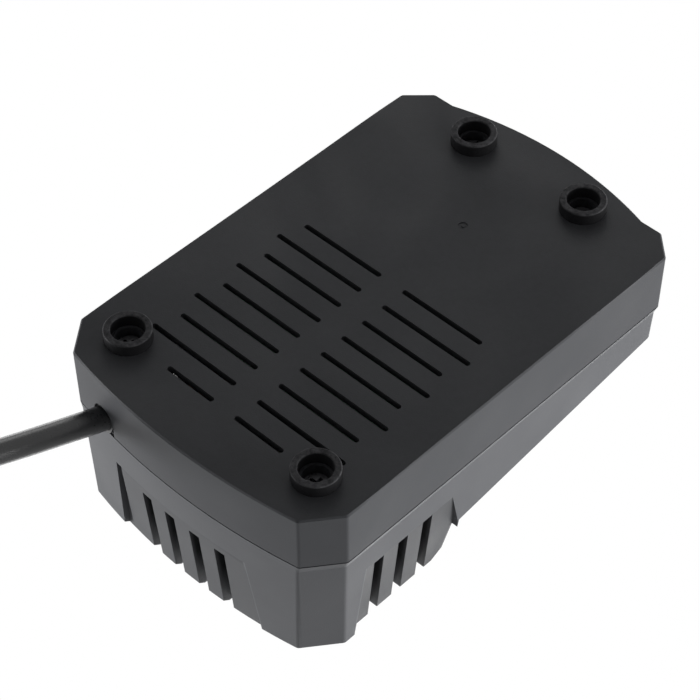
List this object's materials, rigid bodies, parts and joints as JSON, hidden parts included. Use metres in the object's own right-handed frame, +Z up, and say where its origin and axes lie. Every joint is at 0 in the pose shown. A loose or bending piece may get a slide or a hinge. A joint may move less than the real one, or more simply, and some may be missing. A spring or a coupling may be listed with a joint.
{
  "type": "power tool battery charger",
  "caption": "Slide-in battery charger: tilted dock with guide rails and contacts before a tall vented rear block with a fan, ring feet and a coiled mains cord with plug.",
  "frame": {"origin": "on the floor under the middle of the charger's outline, cord not counted", "axes": "+Z up out of the feet, -Y towards the front edge where the pack slides in, +Y towards the rear wall with the cord, +X to the right seen from behind"},
  "size_m": [0.105, 0.3828, 0.0666],
  "materials": {
    "cover_plastic": "fine-grained moulded plastic, dark grey",
    "housing_plastic": "fine-grained moulded plastic, mid grey",
    "foot_rubber": "matte",
    "screw_steel": "zinc plated",
    "rail_plastic": "smooth moulded plastic",
    "terminal_plastic": "glass-filled moulded plastic",
    "contact_metal": "nickel plated",
    "lens_plastic": "clear smoked",
    "led_plastic": "tinted clear",
    "circuit_board": "solder mask",
    "ferrite": "sintered, matte",
    "winding_tape": "polyester tape",
    "copper_winding": "enamelled wire",
    "capacitor_sleeve": "shrink sleeve",
    "film_capacitor_case": "moulded box",
    "component_black": "epoxy",
    "fuse_glass": "clear tube",
    "heatsink_aluminium": "extruded",
    "header_plastic": "moulded",
    "fan_plastic": "moulded",
    "shaft_steel": "ground",
    "lead_brown": "wire insulation",
    "lead_red": "wire insulation",
    "lead_grey": "wire insulation",
    "cord_rubber": "satin sheath",
    "tie_plastic": "woven wrap",
    "plug_plastic": "moulded on",
    "pin_metal": "nickel plated"
  },
  "bodies": {
    "charger": {"board_headers": "header_plastic", "board_screws": "screw_steel", "bottom_cover": "cover_plastic", "bridge_rectifier": "component_black", "case_screws": "screw_steel", "choke_core": "ferrite", "choke_winding": "copper_winding", "clamp_screws": "screw_steel", "coil_tie": "tie_plastic", "control_chips": "component_black", "cord_bushing": "cord_rubber", "cord_clamp": "rail_plastic", "cord_coil": "cord_rubber", "dock_rail_left": "rail_plastic", "dock_rail_right": "rail_plastic", "fan_frame": "fan_plastic", "fan_leads": "lead_red", "fan_stator": "copper_winding", "film_capacitor": "film_capacitor_case", "foot_rings": "foot_rubber", "fuse_clips": "contact_metal", "input_capacitor": "capacitor_sleeve", "input_fuse": "fuse_glass", "led_board": "circuit_board", "led_board_screws": "screw_steel", "led_leads": "lead_grey", "main_board": "circuit_board", "mains_cord": "cord_rubber", "mains_leads": "lead_brown", "output_capacitors": "capacitor_sleeve", "output_leads": "lead_red", "output_rectifier": "component_black", "plug_body": "plug_plastic", "plug_lead": "cord_rubber", "plug_pins": "pin_metal", "power_blades": "contact_metal", "primary_heatsink": "heatsink_aluminium", "rail_screws": "screw_steel", "secondary_heatsink": "heatsink_aluminium", "signal_blades": "contact_metal", "status_leds": "led_plastic", "status_lens": "lens_plastic", "switch_transistor": "component_black", "terminal_block": "terminal_plastic", "transformer_core": "ferrite", "transformer_winding": "winding_tape", "upper_housing": "housing_plastic"},
    "fan_wheel": {"fan_rotor": "fan_plastic", "fan_shaft": "shaft_steel"}
  },
  "joints": [
    {"name": "fan_spin", "type": "hinge", "parent": "charger", "child": "fan_wheel", "pos_m": [0.0012, 0.0635, 0.0442], "axis": [0, 1, 0], "continuous": true}
  ]
}
